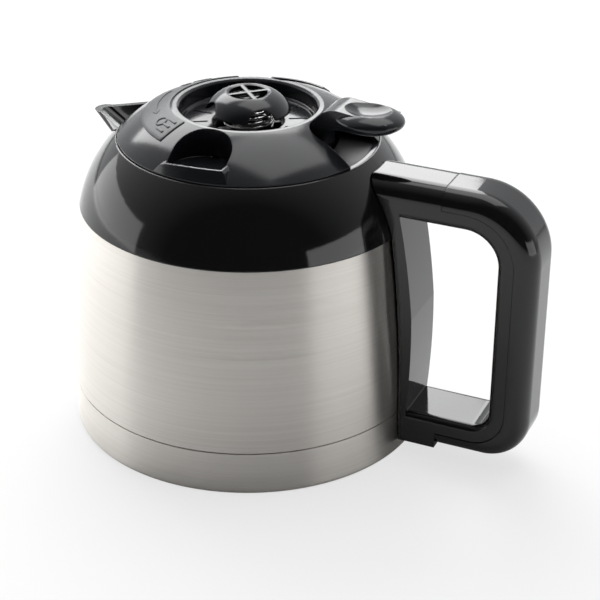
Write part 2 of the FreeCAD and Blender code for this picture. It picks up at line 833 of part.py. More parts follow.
def make_valve_guide():
    body = new_body("valve_guide")
    cross = new_sketch(body, "XY_Plane", "guide_bottom")
    reach = "guide_ring - guide_ring_wall / 2"
    outline(cross, [
        ("-(%s)" % reach, "-guide_spoke / 2"),
        (reach, "-guide_spoke / 2"),
        (reach, "guide_spoke / 2"),
        ("-(%s)" % reach, "guide_spoke / 2"),
    ])
    bar = pad(body, cross, "guide_thick")
    around(body, bar, 4)
    turned(body, [
        ("guide_ring - guide_ring_wall", "guide_bottom"),
        ("guide_ring", "guide_bottom"),
        ("guide_ring", "tray_bottom"),
        ("guide_ring - guide_ring_wall", "tray_bottom"),
    ])
    hub = new_sketch(body, "XY_Plane", "guide_bottom")
    circle(hub, "0", "0", "hub_radius")
    pad(body, hub, "guide_thick + 0.8")
    bore = new_sketch(body, "XY_Plane", "tray_bottom + 2")
    circle(bore, "0", "0", "stem_radius + stem_clearance")
    pocket(body, bore, "guide_thick + 4")
    bind(body, "Placement.Rotation.Angle", "45deg")


def make_lever_pin():
    pin = doc.addObject("Part::Cylinder", "lever_pin")
    pin.Label = "lever_pin"
    bind(pin, "Radius", "pin_radius")
    bind(pin, "Height", "2 * (arm_outer + ear_gap + ear_wall)")
    pin.Placement = Placement(Vector(), Rotation(Vector(1, 0, 0), -90))
    bind(pin, "Placement.Base.x", "-pivot_reach")
    bind(pin, "Placement.Base.y", "-(arm_outer + ear_gap + ear_wall)")
    bind(pin, "Placement.Base.z", "pivot_height")
    SUB_PARTS.append(pin)


# ---------------------------------------------------------------- thumb lever
def make_thumb_lever():
    body = new_body("thumb_lever")
    side = new_sketch(body, "XZ_Plane")
    pad_end = "pad_centre + pad_half_length"
    neck = "lever_root + lever_neck"
    outline(side, [
        ("-pivot_reach", "arm_bottom"),
        (neck, "arm_bottom"),
        (neck, "arm_top + 2", "9", -1),
        ("pad_centre - 6", "pad_height - pad_thick * 1.5"),
        (pad_end + " - 5", "pad_height - pad_thick"),
        (pad_end + " - 4", "pad_height - 1.6"),
        ("pad_centre - 9", "pad_height + 0.6", "10", 1),
        ("lever_root", "pad_height - 9"),
        ("lever_root", "arm_top"),
        ("-pivot_reach", "arm_top"),
    ])
    pad(body, side, "2 * arm_outer", both_ways=True)
    for x, z, radius in (("-pivot_reach", "pivot_height", "pin_radius + 1.1"),
                         ("0", "nose_bottom + nose_radius", "nose_radius")):
        boss = new_sketch(body, "XZ_Plane")
        circle(boss, x, z, radius)
        pad(body, boss, "2 * arm_outer", both_ways=True)
    slot = new_sketch(body, "XY_Plane", "arm_top + 3")
    outline(slot, [
        ("-(pivot_reach + 5)", "-arm_inner"),
        ("guide_ring - 3", "-arm_inner"),
        ("guide_ring - 3", "arm_inner"),
        ("-(pivot_reach + 5)", "arm_inner"),
    ])
    pocket(body, slot, "8")
    bore = new_sketch(body, "XZ_Plane")
    circle(bore, "-pivot_reach", "pivot_height", "pin_radius + pin_clearance")
    pocket(body, bore, "2 * arm_outer + 1", both_ways=True)
    thumb = body.newObject("PartDesign::AdditiveEllipsoid", "thumb")
    thumb.MapMode = "Deactivated"
    bind(thumb, "Radius1", "pad_thick")
    bind(thumb, "Radius2", "pad_half_length")
    bind(thumb, "Radius3", "pad_half_width")
    bind(thumb, "Placement.Base.x", "pad_centre")
    bind(thumb, "Placement.Base.z", "pad_height - pad_thick * 0.75")
    doc.recompute()
    dish = body.newObject("PartDesign::SubtractiveEllipsoid", "dish")
    dish.MapMode = "Deactivated"
    bind(dish, "Radius1", "pad_thick")
    bind(dish, "Radius2", "pad_half_length * 0.8")
    bind(dish, "Radius3", "pad_half_width * 0.8")
    bind(dish, "Placement.Base.x", "pad_centre")
    bind(dish, "Placement.Base.z", "pad_height + pad_thick - pad_dish")
    doc.recompute()


# ---------------------------------------------------------------- pouring valve
def make_valve_cap():
    body = new_body("valve_cap")
    turned(body, [
        ("cap_radius", "cap_foot"),
        ("cap_radius", "cap_foot + 0.6", "12", 1),
        ("grille_radius + 1.2", "cap_top"),
        ("grille_radius", "cap_top - 0.4"),
        ("grille_radius", "cap_top - cap_wall - 0.4"),
        ("spring_radius - 0.9", "spring_top + 1.8"),
        ("spring_radius - 0.9", "spring_top"),
        ("spring_radius + 0.9", "spring_top"),
        ("spring_radius + 0.9", "spring_top + 2.2"),
        ("cap_radius - cap_wall", "cap_foot"),
    ])
    for plane in ("XZ_Plane", "YZ_Plane"):
        arch = new_sketch(body, plane)
        circle(arch, "0", "cap_foot - 1.6", "cap_radius * 0.36")
        pocket(body, arch, "2 * cap_radius + 4", both_ways=True)
    ribs = new_sketch(body, "XY_Plane", "cap_top - 2.2")
    outline(ribs, [
        ("-(grille_radius + 0.8)", "-grille_rib / 2"),
        ("grille_radius + 0.8", "-grille_rib / 2"),
        ("grille_radius + 0.8", "grille_rib / 2"),
        ("-(grille_radius + 0.8)", "grille_rib / 2"),
    ])
    rib = pad(body, ribs, "2.0")
    around(body, rib, 4)
    hub = new_sketch(body, "XY_Plane", "spring_top")
    circle(hub, "0", "0", "stem_radius + 1.4")
    pad(body, hub, "cap_top - 1.2 - spring_top")
    bore = new_sketch(body, "XY_Plane", "cap_top - 2.4")
    circle(bore, "0", "0", "stem_radius + lip_clearance")
    pocket(body, bore, "cap_top")
    bind(body, "Placement.Rotation.Angle", "45deg")


def make_valve_stem():
    body = new_body("valve_stem")
    turned(body, [
        ("0", "disc_top"),
        ("stem_radius", "disc_top"),
        ("stem_radius", "pusher_top - pusher_thick"),
        ("pusher_radius", "pusher_top - pusher_thick"),
        ("pusher_radius", "pusher_top"),
        ("stem_radius", "pusher_top"),
        ("stem_radius", "cap_top - 2.4"),
        ("0", "cap_top - 2.4"),
    ])
    hole = new_sketch(body, "XY_Plane", "disc_top + 7")
    circle(hole, "0", "0", "lid_screw_radius + lip_clearance")
    pocket(body, hole, "8")


def make_valve_disc():
    body = new_body("valve_disc")
    turned(body, [
        ("lid_screw_radius + 0.3", "disc_top - disc_thick"),
        ("disc_radius - 0.8", "disc_top - disc_thick"),
        ("disc_radius", "disc_top - disc_thick + 0.8"),
        ("disc_radius", "disc_top"),
        ("lid_screw_radius + 0.3", "disc_top"),
    ])


def make_valve_seal():
    body = new_body("valve_seal")
    turned(body, [
        ("port_radius - 0.6", "disc_top"),
        ("disc_radius - 0.4", "disc_top"),
        ("disc_radius - 0.4", "disc_top + seal_thick"),
        ("port_radius - 0.6", "disc_top + seal_thick"),
    ])


def make_stem_screw():
    start = value("disc_top - disc_thick - screw_head_thick")
    solid = screw(value("screw_head"), value("screw_head_thick"), value("lid_screw_radius"),
                  value("disc_thick + 6"), (0, 0, start), (0, 0, 1))
    group("stem_screw", [solid])


def make_valve_spring():
    body = new_body("valve_spring")
    wire = new_sketch(body, "XZ_Plane")
    low = "tray_bottom + spring_wire / 2 + lip_clearance"
    high = "spring_top - spring_wire / 2 - lip_clearance"
    circle(wire, "spring_radius", low, "spring_wire / 2")
    coil = feature(body, "AdditiveHelix", wire)
    coil.ReferenceAxis = (wire, ["V_Axis"])
    coil.Mode = "pitch-height-angle"
    bind(coil, "Pitch", "(%s - (%s)) / spring_turns" % (high, low))
    bind(coil, "Height", "%s - (%s)" % (high, low))
    doc.recompute()


# ---------------------------------------------------------------- handle
def make_handle_frame():
    body = new_body("handle_frame")
    side = new_sketch(body, "XZ_Plane")
    outline(side, [
        ("rim_radius - 8", "handle_top"),
        ("rim_radius - 8", "hole_top - 20"),
        ("shoulder_radius", "hole_top - 30"),
        ("shoulder_radius", "handle_bottom"),
        ("grip_seam_bottom", "handle_bottom"),
        ("grip_seam_bottom", "liner_bottom"),
        ("liner_outer - liner_corner_bottom", "liner_bottom", "liner_corner_bottom", 1),
        ("liner_outer", "liner_bottom + liner_corner_bottom"),
        ("liner_outer", "liner_top - liner_corner_top", "liner_corner_top", 1),
        ("liner_outer - liner_corner_top", "liner_top"),
        ("grip_seam_top", "liner_top"),
        ("grip_seam_top", "handle_top"),
    ])
    pad(body, side, "2 * (handle_half_width - 0.4)", both_ways=True)
    # the finger hole; its near side follows the barrel
    hole = new_sketch(body, "XZ_Plane")
    outline(hole, [
        ("hole_inner - 1", "hole_bottom"),
        ("hole_outer - hole_corner_bottom", "hole_bottom", "hole_corner_bottom", 1),
        ("hole_outer", "hole_bottom + hole_corner_bottom"),
        ("hole_outer", "hole_top - hole_corner_top", "hole_corner_top", 1),
        ("hole_outer - hole_corner_top", "hole_top"),
        ("hole_inner - 6", "hole_top", "barrel_arc * 0.6", -1),
        ("hole_inner", "(hole_top + hole_bottom) / 2", "barrel_arc * 0.6", -1),
    ])
    pocket(body, hole, "4 * handle_half_width", both_ways=True)
    # room for the flask and the collar
    turned(body, [
        ("0", "-5"),
        ("base_radius + barrel_clearance", "-5"),
        ("base_radius + barrel_clearance", "base_edge"),
        ("seam_radius + barrel_clearance", "seam_top", "barrel_arc + barrel_clearance", 1),
        ("collar_radius + barrel_clearance", "collar_base", "collar_arc + barrel_clearance", 1),
        ("rim_radius + barrel_clearance", "rim_height"),
        ("rim_radius + barrel_clearance", "rim_height + 9"),
        ("0", "rim_height + 9"),
    ], "Groove")
    # seat of the lower bracket and the screw under it
    seat = new_sketch(body, "XZ_Plane")
    outline(seat, [
        ("shoulder_radius", "bracket_bottom - lip_clearance"),
        ("bracket_reach + 0.3", "bracket_bottom - lip_clearance"),
        ("bracket_reach + 0.3", "bracket_top + lip_clearance"),
        ("shoulder_radius", "bracket_top + lip_clearance"),
    ])
    pocket(body, seat, "bracket_width + 0.6", both_ways=True)
    below = new_sketch(body, "XY_Plane", "bracket_bottom + 1")
    circle(below, "bracket_screw_reach", "0", "screw_radius + screw_play")
    pocket(body, below, "bracket_bottom + 2")
    below = new_sketch(body, "XY_Plane", "handle_bottom + screw_head_thick + 0.4")
    circle(below, "bracket_screw_reach", "0", "screw_head + 0.3")
    pocket(body, below, "bracket_bottom")
    # upper screws come through the collar, grip screws through the liner
    holes = new_sketch(body, "YZ_Plane", "upper_screw_tip + 0.5")
    for turn in (1, -1):
        circle(holes, "%d * upper_screw_spread" % turn, "upper_screw_height",
               "screw_radius + lip_clearance")
    pocket(body, holes, "upper_screw_tip - rim_radius + 8")
    for radius, depth in (("screw_radius + screw_play", "liner_thick + 2"),
                          ("screw_head + 0.3", "liner_thick - liner_seat")):
        holes = new_sketch(body, "YZ_Plane", "liner_outer + 1" if "play" in radius else
                           "liner_outer - liner_seat")
        for height in ("grip_screw_low", "grip_screw_high"):
            circle(holes, "0", height, radius)
        pocket(body, holes, depth)
    width = value("handle_half_width") - 0.4

    def hole_edge(edge):
        box = edge.BoundBox
        flat = abs(abs(box.YMin) - width) < 1e-4 and abs(box.YMax - box.YMin) < 1e-4
        inside = value("hole_outer - hole_corner_top") - 0.01 < box.XMax < value("hole_outer") + 0.01
        tall = value("hole_bottom") - 0.01 < box.ZMin and box.ZMax < value("hole_top") + 0.01
        return flat and inside and tall

    round_edges(body, "edge_round", hole_edge)

    def arm_edge(edge):
        box = edge.BoundBox
        top = abs(box.ZMin - value("handle_top")) < 1e-4 and abs(box.ZMax - box.ZMin) < 1e-4
        return top and abs(abs(box.YMin) - width) < 1e-3 and abs(box.YMax - box.YMin) < 1e-3

    round_edges(body, "grip_round", arm_edge)


def grip_outline(sketch, inset, seam_gap, liner_gap):
    """The C of the grip: the outer side set in by inset, the inner side off the liner by liner_gap."""
    right = "handle_reach - (%s)" % inset
    top = "handle_top - (%s)" % inset
    low = "handle_bottom + (%s)" % inset
    big = "grip_corner_top - (%s)" % inset
    small = "grip_corner_bottom - (%s)" % inset
    inner = "liner_outer + (%s)" % liner_gap
    inner_big = "liner_corner_top + (%s)" % liner_gap
    inner_small = "liner_corner_bottom + (%s)" % liner_gap
    outline(sketch, [
        ("grip_seam_top + " + seam_gap, top),
        ("grip_seam_top + " + seam_gap, "liner_top + (%s)" % liner_gap),
        ("%s - (%s)" % (inner, inner_big), "liner_top + (%s)" % liner_gap, inner_big, -1),
        (inner, "liner_top + (%s) - (%s)" % (liner_gap, inner_big)),
        (inner, "liner_bottom - (%s) + %s" % (liner_gap, inner_small), inner_small, -1),
        ("%s - (%s)" % (inner, inner_small), "liner_bottom - (%s)" % liner_gap),
        ("grip_seam_bottom + " + seam_gap, "liner_bottom - (%s)" % liner_gap),
        ("grip_seam_bottom + " + seam_gap, low),
        ("%s - (%s)" % (right, small), low, small, 1),
        (right, "%s + %s" % (low, small)),
        (right, "%s - (%s)" % (top, big), big, 1),
        ("%s - (%s)" % (right, big), top),
    ])


def make_handle_grip():
    body = new_body("handle_grip")
    side = new_sketch(body, "XZ_Plane")
    grip_outline(side, "0", "grip_fit", "grip_fit")
    pad(body, side, "2 * handle_half_width", both_ways=True)
    width = value("handle_half_width")
    reach = value("liner_outer + grip_fit + 0.5")

    def outer_edge(edge):
        box = edge.BoundBox
        flat = abs(abs(box.YMin) - width) < 1e-4 and abs(box.YMax - box.YMin) < 1e-4
        top = box.ZMin > value("liner_top") + 1.0
        low = box.ZMax < value("liner_bottom") - 1.0
        far = box.XMin > reach
        wraps = box.XMax > reach + 5 and (box.ZMax > value("handle_top") - 1
                                          or box.ZMin < value("handle_bottom") + 1)
        seam = abs(box.XMax - box.XMin) < 1e-4 and box.XMax < value("grip_seam_bottom") + 1
        return flat and (top or low or far or wraps) and not seam

    round_edges(body, "grip_round", outer_edge)
    hollow = new_sketch(body, "XZ_Plane")
    grip_outline(hollow, "grip_hollow_wall", "grip_hollow_wall", "-0.3")
    pocket(body, hollow, "2 * (handle_half_width - grip_round)", both_ways=True)
    bosses = new_sketch(body, "YZ_Plane", "liner_outer + grip_fit")
    for height in ("grip_screw_low", "grip_screw_high"):
        circle(bosses, "0", height, "2 * screw_radius")
    pad(body, bosses, "handle_reach - liner_outer - grip_fit - grip_hollow_wall / 2")
    holes = new_sketch(body, "YZ_Plane", "handle_reach - grip_hollow_wall")
    for height in ("grip_screw_low", "grip_screw_high"):
        circle(holes, "0", height, "screw_radius + lip_clearance")
    pocket(body, holes, "handle_reach - liner_outer")


def make_handle_bracket():
    body = new_body("handle_bracket")
    side = new_sketch(body, "XZ_Plane")
    inner = "base_radius + lip_clearance"
    outline(side, [
        (inner, "bracket_bottom + bracket_thick"),
        (inner, "bracket_top"),
        (inner + " + bracket_thick", "bracket_top"),
        (inner + " + bracket_thick", "bracket_bottom + 2 * bracket_thick"),
        ("bracket_reach", "bracket_bottom + 2 * bracket_thick"),
        ("bracket_reach", "bracket_bottom + bracket_thick"),
    ])
    pad(body, side, "bracket_width", both_ways=True)
    hole = new_sketch(body, "XY_Plane", "bracket_top")
    circle(hole, "bracket_screw_reach", "0", "screw_radius")
    pocket(body, hole, "bracket_top - bracket_bottom")


def make_handle_screws():
    solids = []
    head = value("screw_head")
    thick = value("screw_head_thick")
    shank = value("screw_radius")
    for turn in (1, -1):
        base = (value("upper_screw_seat") - thick, turn * value("upper_screw_spread"),
                value("upper_screw_height"))
        solids.append(screw(head, thick, shank, value("upper_screw_tip - upper_screw_seat"), base,
                            (1, 0, 0)))
    base = (value("bracket_screw_reach"), 0, value("handle_bottom + 0.3"))
    length = value("bracket_bottom + 3 * bracket_thick - handle_bottom - screw_head_thick")
    solids.append(screw(head, thick, shank, length, base, (0, 0, 1)))
    group("handle_screws", solids)


def make_grip_screws():
    solids = []
    start = value("liner_outer - liner_seat")
    for height in ("grip_screw_low", "grip_screw_high"):
        base = (start - value("screw_head_thick"), 0, value(height))
        length = value("handle_reach - grip_hollow_wall - 0.5 - liner_outer + liner_seat")
        solids.append(screw(value("screw_head"), value("screw_head_thick"), value("screw_radius"),
                            length, base, (1, 0, 0)).copy())
    # a screw's head faces the finger hole, so its shank runs outwards from the seat
    group("grip_screws", solids)


# ---------------------------------------------------------------- build, check and write
make_base_cup()
make_outer_shell()
make_inner_vessel()
make_getter()
make_collar()
make_thread_ring()
make_neck_seal()
make_handle_frame()
make_handle_grip()
make_handle_bracket()
make_handle_screws()
make_grip_screws()
make_lid_gasket()
make_lid_base()
make_lid_cover()
make_lid_screws()
make_funnel_tray()
make_valve_guide()
make_lever_pin()
make_thumb_lever()
make_valve_cap()
make_valve_stem()
make_valve_disc()
make_valve_seal()
make_stem_screw()
make_valve_spring()

doc.recompute()
faults = [o.Label for o in doc.Objects if "Invalid" in o.State or "Error" in o.State]
faults += [o.Label for o in SUB_PARTS if o.Shape.isNull() or not o.Shape.isValid()]
if faults:
    raise RuntimeError("these did not build: " + ", ".join(faults))

os.makedirs("parts", exist_ok=True)
for sub_part in SUB_PARTS:
    sub_part.Shape.exportStep("parts/%s.step" % sub_part.Label)
    box = sub_part.Shape.BoundBox
    print("%-16s %7.1f mm3  %d solids  z %.1f to %.1f"
          % (sub_part.Label, sub_part.Shape.Volume, len(sub_part.Shape.Solids), box.ZMin, box.ZMax))
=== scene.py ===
# %% [markdown]
# # An insulated serving jug
#
# The jug is a steel flask with a black plastic collar, a loop handle and a screw lid. The machined and
# moulded parts come ready from the CAD frame, at their true size and place. This lesson gives each of them
# its finish, models the small raised marks and the coil spring by hand, and lights the jug as a
# studio would.

import math

import bpy
from mathutils import Matrix, Vector


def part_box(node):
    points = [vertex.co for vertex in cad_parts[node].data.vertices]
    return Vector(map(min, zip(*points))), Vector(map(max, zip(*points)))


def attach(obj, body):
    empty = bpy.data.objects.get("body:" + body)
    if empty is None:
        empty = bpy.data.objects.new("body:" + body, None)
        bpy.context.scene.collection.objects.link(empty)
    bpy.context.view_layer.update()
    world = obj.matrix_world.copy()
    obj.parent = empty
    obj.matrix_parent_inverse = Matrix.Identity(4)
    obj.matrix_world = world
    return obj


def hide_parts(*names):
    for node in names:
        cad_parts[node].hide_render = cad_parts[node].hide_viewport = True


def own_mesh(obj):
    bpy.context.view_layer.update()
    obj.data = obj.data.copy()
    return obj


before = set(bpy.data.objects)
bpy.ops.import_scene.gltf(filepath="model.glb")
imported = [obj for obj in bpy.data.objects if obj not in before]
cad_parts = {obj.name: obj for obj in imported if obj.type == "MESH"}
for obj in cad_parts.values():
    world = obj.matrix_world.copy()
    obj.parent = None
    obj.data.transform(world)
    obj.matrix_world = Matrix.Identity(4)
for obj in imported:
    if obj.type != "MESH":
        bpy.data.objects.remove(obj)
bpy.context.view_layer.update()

# %% [markdown]
# ## Working by hand, from a script
#
# Blender's operators act on whatever is selected, and the frame arrives selected. So each new piece starts
# by letting go of everything. A finished piece keeps its object at the origin, with its place in its mesh,
# so that a pattern on Object coordinates lines up from piece to piece.


# %% Small helpers
def let_go():
    """Nothing is selected, and Blender is in object mode."""
    if bpy.context.object and bpy.context.object.mode != "OBJECT":
        bpy.ops.object.mode_set(mode="OBJECT")
    bpy.ops.object.select_all(action="DESELECT")


def settle(piece):
    """Put the piece's place, turn and scale into its mesh."""
    let_go()
    piece.select_set(True)
    bpy.context.view_layer.objects.active = piece
    bpy.ops.object.transform_apply(location=True, rotation=True, scale=True)


def add_modifier(piece, kind, **settings):
    """Add one modifier and apply it."""
    let_go()
    piece.select_set(True)
    bpy.context.view_layer.objects.active = piece
    made = piece.modifiers.new(kind.title(), kind)
    for key, setting in settings.items():
        setattr(made, key, setting)
    bpy.ops.object.modifier_apply(modifier=made.name)


def smooth(piece, degrees=35):
    let_go()
    piece.select_set(True)
    bpy.context.view_layer.objects.active = piece
    bpy.ops.object.shade_smooth_by_angle(angle=math.radians(degrees))


# %% [markdown]
# ## Effects that several finishes share
#
# A shader node group is built once and placed in each material with its own values. Here there are three:
# the fine lines that a brushing belt leaves in steel, the faint waviness of a moulded plastic
# skin, and the uneven gloss that hands and dishwashers leave on everything.


# %% Brushed lines
def new_group(name, inputs, outputs):
    """An empty shader group with float inputs {name: value} and outputs {name: socket type}."""
    group = bpy.data.node_groups.new(name, "ShaderNodeTree")
    for label, start in inputs.items():
        socket = group.interface.new_socket(label, in_out="INPUT", socket_type="NodeSocketFloat")
        socket.default_value = start
    for label, kind in outputs.items():
        group.interface.new_socket(label, in_out="OUTPUT", socket_type=kind)
    return group, group.nodes.new("NodeGroupInput"), group.nodes.new("NodeGroupOutput")


def noise(tree, place, scale, detail, roughness=0.5):
    """A noise texture that reads the given coordinates."""
    made = tree.nodes.new("ShaderNodeTexNoise")
    made.inputs["Scale"].default_value = scale
    made.inputs["Detail"].default_value = detail
    made.inputs["Roughness"].default_value = roughness
    tree.links.new(place, made.inputs["Vector"])
    return made.outputs["Fac"]


def spread(tree, fac, low, high):
    """Stretch a 0.3 to 0.7 noise to the range from low to high."""
    made = tree.nodes.new("ShaderNodeMapRange")
    made.inputs["From Min"].default_value = 0.3
    made.inputs["From Max"].default_value = 0.7
    for label, source in (("To Min", low), ("To Max", high)):
        if isinstance(source, float):
            made.inputs[label].default_value = source
        else:
            tree.links.new(source, made.inputs[label])
    tree.links.new(fac, made.inputs["Value"])
    return made.outputs["Result"]


def object_place(tree, stretch):
    """Object coordinates, stretched by a factor on each axis."""
    place = tree.nodes.new("ShaderNodeTexCoord")
    mapping = tree.nodes.new("ShaderNodeMapping")
    mapping.inputs["Scale"].default_value = stretch
    tree.links.new(place.outputs["Object"], mapping.inputs["Vector"])
    return mapping.outputs["Vector"]


brushed, given, result = new_group(
    "Brushed lines", {"Dark": 0.0, "Light": 1.0}, {"Lines": "NodeSocketFloat", "Tone": "NodeSocketFloat"})
fine = noise(brushed, object_place(brushed, (14, 14, 3200)), 1.0, 4.0, 0.7)
broad = noise(brushed, object_place(brushed, (11, 11, 1500)), 1.0, 3.0, 0.6)
brushed.links.new(fine, result.inputs["Lines"])
brushed.links.new(spread(brushed, broad, given.outputs["Dark"], given.outputs["Light"]),
                  result.inputs["Tone"])
print("group", brushed.name)

# %% [markdown]
# A polished moulding is never quite flat: under a lamp it shows a faint waviness, like the skin of an
# orange. A fine noise feeds its bump. A second, coarser noise moves the roughness between a clean and a
# dull value, which is what fingers leave behind.

# %% Moulded skin and handling
skin, given, result = new_group("Moulded skin", {"Size": 900.0}, {"Height": "NodeSocketFloat"})
peel = skin.nodes.new("ShaderNodeTexNoise")
peel.inputs["Detail"].default_value = 3.0
skin.links.new(object_place(skin, (1, 1, 1)), peel.inputs["Vector"])
skin.links.new(given.outputs["Size"], peel.inputs["Scale"])
skin.links.new(peel.outputs["Fac"], result.inputs["Height"])

handled, given, result = new_group(
    "Handling", {"Clean": 0.1, "Dull": 0.2}, {"Roughness": "NodeSocketFloat"})
smudge = noise(handled, object_place(handled, (1, 1, 1)), 38.0, 5.0, 0.62)
handled.links.new(spread(handled, smudge, given.outputs["Clean"], given.outputs["Dull"]),
                  result.inputs["Roughness"])
print("groups", skin.name, handled.name)

# %% [markdown]
# ## The finishes
#
# Each finish is one material on the Principled shader. What is the same all over, such as the index of
# refraction, is set on the shader itself. What changes over the surface comes from the groups. The Bevel
# node rounds the way light meets a crisp edge, as the edge radius of a real moulding does.


# %% A material with its groups
def place_group(tree, group, **values):
    node = tree.nodes.new("ShaderNodeGroup")
    node.node_tree = group
    for key, setting in values.items():
        node.inputs[key].default_value = setting
    return node


DRIFT_SCALE = 22.0
RELIEF_DEPTH = 0.0002


def finish_of(name, color, metallic=0.0, clean=0.1, dull=0.2, peel_size=900.0, bump=0.02,
              edge=0.0004, specular=0.5, tint=None):
    """A moulded or plain metal finish with uneven gloss, a fine skin and softened edges."""
    material = bpy.data.materials.new(name)
    material.use_nodes = True
    tree = material.node_tree
    shader = tree.nodes["Principled BSDF"]
    shader.inputs["Metallic"].default_value = metallic
    shader.inputs["Specular IOR Level"].default_value = specular
    gloss = place_group(tree, handled, Clean=clean, Dull=dull)
    tree.links.new(gloss.outputs["Roughness"], shader.inputs["Roughness"])
    # the colour drifts a little over the piece, as pigment in a moulding does
    drift = tree.nodes.new("ShaderNodeMix")
    drift.data_type = "RGBA"
    drift.inputs["A"].default_value = (*color, 1)
    drift.inputs["B"].default_value = (*(tint or [c * 1.25 for c in color]), 1)
    tree.links.new(noise(tree, object_place(tree, (1, 1, 1)), DRIFT_SCALE, 3.0), drift.inputs["Factor"])
    tree.links.new(drift.outputs["Result"], shader.inputs["Base Color"])
    grain = place_group(tree, skin, Size=peel_size)
    relief = tree.nodes.new("ShaderNodeBump")
    relief.inputs["Strength"].default_value = bump
    relief.inputs["Distance"].default_value = RELIEF_DEPTH
    tree.links.new(grain.outputs["Height"], relief.inputs["Height"])
    if edge:
        rounded = tree.nodes.new("ShaderNodeBevel")
        rounded.samples = 4
        rounded.inputs["Radius"].default_value = edge
        tree.links.new(rounded.outputs["Normal"], relief.inputs["Normal"])
    tree.links.new(relief.outputs["Normal"], shader.inputs["Normal"])
    return material


gloss_black = finish_of("Gloss black moulding", (0.006, 0.006, 0.0065), clean=0.05, dull=0.11,
                        peel_size=260.0, bump=0.03, edge=0.0006)
lid_black = finish_of("Polished lid moulding", (0.010, 0.011, 0.013), clean=0.12, dull=0.19,
                        peel_size=420.0, bump=0.04, edge=0.0006)
inner_black = finish_of("Inner black moulding", (0.02, 0.02, 0.022), clean=0.38, dull=0.5,
                        peel_size=1200.0, bump=0.1)
silicone = finish_of("Grey silicone", (0.09, 0.09, 0.092), clean=0.5, dull=0.62, peel_size=700.0,
                     bump=0.06, specular=0.4)
bright_steel = finish_of("Bright steel", (0.72, 0.71, 0.70), metallic=1.0, clean=0.12, dull=0.22,
                         peel_size=2200.0, bump=0.04, edge=0.0001, tint=(0.62, 0.61, 0.60))


# %% [markdown]
# ## Brushed steel
#
# The barrel was brushed while it turned, so its lines run level, all the way round. Such lines spread a
# reflection up and down but hardly sideways, which is why a brushed barrel shows tall soft bands. Fine
# lines in the bump and in the roughness do part of this, and the shader's anisotropy does the rest.


# %% Steel for the barrel, the cup and the inner vessel
def steel_of(name, light, dark, rough, anisotropy):
    material = bpy.data.materials.new(name)
    material.use_nodes = True
    tree = material.node_tree
    shader = tree.nodes["Principled BSDF"]
    shader.inputs["Metallic"].default_value = 1.0
    shader.inputs["Anisotropic"].default_value = anisotropy
    shader.inputs["Anisotropic Rotation"].default_value = 0.25
    around = tree.nodes.new("ShaderNodeTangent")
    around.direction_type = "RADIAL"
    around.axis = "Z"
    tree.links.new(around.outputs["Tangent"], shader.inputs["Tangent"])
    lines = place_group(tree, brushed, Dark=0.0, Light=1.0)
    tone = tree.nodes.new("ShaderNodeMix")
    tone.data_type = "RGBA"
    tone.inputs["A"].default_value = (*dark, 1)
    tone.inputs["B"].default_value = (*light, 1)
    tree.links.new(lines.outputs["Tone"], tone.inputs["Factor"])
    tree.links.new(tone.outputs["Result"], shader.inputs["Base Color"])
    tree.links.new(spread(tree, lines.outputs["Lines"], rough - 0.05, rough + 0.07),
                   shader.inputs["Roughness"])
    relief = tree.nodes.new("ShaderNodeBump")
    relief.inputs["Strength"].default_value = 0.06
    relief.inputs["Distance"].default_value = 0.00005
    tree.links.new(lines.outputs["Lines"], relief.inputs["Height"])
    tree.links.new(relief.outputs["Normal"], shader.inputs["Normal"])
    return material


barrel_steel = steel_of("Brushed steel", (0.73, 0.70, 0.66), (0.67, 0.64, 0.60), 0.40, 0.88)
vessel_steel = steel_of("Drawn steel", (0.60, 0.595, 0.59), (0.54, 0.535, 0.53), 0.24, 0.3)

# %% [markdown]
# ## From node to finish
#
# The frame's parts keep their shapes, so each only needs its material. A table from node to finish reads
# like a parts list, and a missing name stops the script.

# %% Finish every part of the frame
FINISH = {
    "base_cup": barrel_steel, "outer_shell": barrel_steel, "inner_vessel": vessel_steel,
    "getter": bright_steel, "collar": gloss_black, "thread_ring": inner_black,
    "neck_seal": silicone, "handle_frame": gloss_black, "handle_grip": gloss_black,
    "handle_bracket": bright_steel, "handle_screws": bright_steel, "grip_screws": bright_steel,
    "lid_gasket": silicone, "lid_base": inner_black, "lid_cover": lid_black,
    "lid_screws": bright_steel, "funnel_tray": lid_black, "valve_guide": inner_black,
    "lever_pin": bright_steel, "thumb_lever": lid_black, "valve_cap": lid_black,
    "valve_stem": inner_black, "valve_disc": inner_black, "valve_seal": silicone,
    "stem_screw": bright_steel,
}
for node, material in FINISH.items():
    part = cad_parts[node]
    part.data.materials.clear()
    part.data.materials.append(material)
print("finished parts", len(FINISH))

# %% [markdown]
# ## The curve of the lid
#
# The raised marks lie on the lid's dome, so they need its curve: one arc, from the lid's edge up to the rim
# of the recess. A function gives the height of the dome at any radius, and everything that lies on the
# lid reads it.

# %% The dome's arc
lid_low, lid_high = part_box("lid_cover")
DOME_EDGE = Vector((lid_high.x, 0.1172))
DOME_CREST = Vector((0.0284, lid_high.z))
DOME_ARC = 0.051
chord = DOME_CREST - DOME_EDGE
middle = (DOME_EDGE + DOME_CREST) / 2
inward = Vector((-chord.y, chord.x)).normalized()
dome_centre = middle + inward * math.sqrt(DOME_ARC ** 2 - (chord.length / 2) ** 2)
print("arc centre", tuple(round(c, 4) for c in dome_centre))


def dome_height(radius):
    return dome_centre.y + math.sqrt(DOME_ARC ** 2 - (radius - dome_centre.x) ** 2)


def dome_slope(radius):
    """How far the dome's surface leans outwards at a radius."""
    return math.asin((radius - dome_centre.x) / DOME_ARC)


# %% [markdown]
# ## A strip that follows the dome
#
# A profile that is spun about the jug's axis is the turner's way to a strip on a round lid. One vertex is
# extruded along the dome's curve to draw the profile, and Spin sweeps it round. Solidify then gives it a
# thickness, and Bevel breaks its edges.


